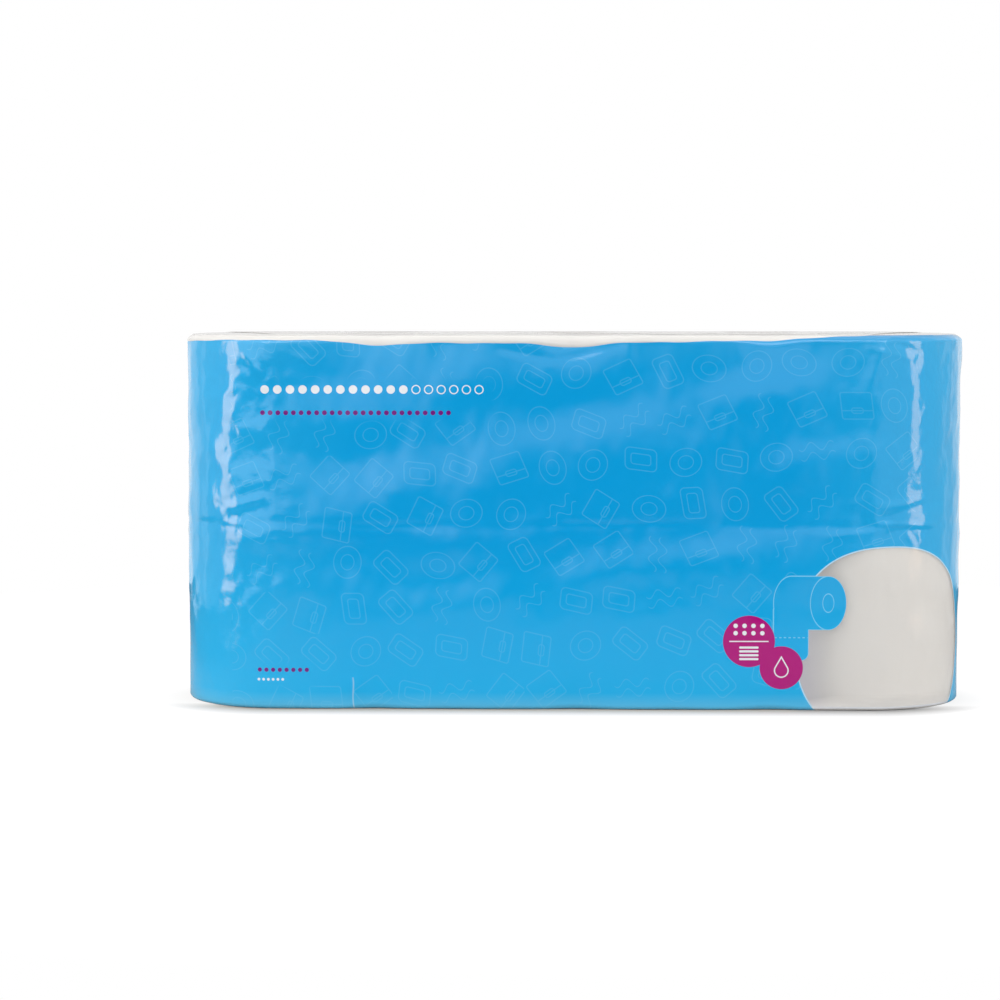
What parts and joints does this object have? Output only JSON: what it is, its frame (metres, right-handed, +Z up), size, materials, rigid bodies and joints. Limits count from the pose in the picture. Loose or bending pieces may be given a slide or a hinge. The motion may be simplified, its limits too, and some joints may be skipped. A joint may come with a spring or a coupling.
{
  "type": "toilet paper roll pack",
  "caption": "Flat oval pack of toilet paper rolls standing on end in a tight printed film wrap with a clear window, folded shut on top and bottom.",
  "frame": {"origin": "under the middle of the pack, on the surface that it stands on", "axes": "+Z up, front with the window facing -Y, +X to the front's right along the row of rolls"},
  "size_m": [0.409, 0.1033, 0.1941],
  "materials": {
    "printed_film": "glossy thin polyethylene film, printed sky blue, clear on the top and bottom and in a window",
    "tissue_paper": "soft white embossed tissue, wound in turns",
    "core_board": "plain grey-brown board, wound in a spiral"
  },
  "bodies": {
    "root": {"film_wrap": "printed_film", "paper_roll_lower_1": "tissue_paper", "paper_roll_lower_2": "tissue_paper", "paper_roll_lower_3": "tissue_paper", "paper_roll_lower_4": "tissue_paper", "paper_roll_upper_1": "tissue_paper", "paper_roll_upper_2": "tissue_paper", "paper_roll_upper_3": "tissue_paper", "paper_roll_upper_4": "tissue_paper", "core_lower_1": "core_board", "core_lower_2": "core_board", "core_lower_3": "core_board", "core_lower_4": "core_board", "core_upper_1": "core_board", "core_upper_2": "core_board", "core_upper_3": "core_board", "core_upper_4": "core_board"}
  },
  "joints": []
}
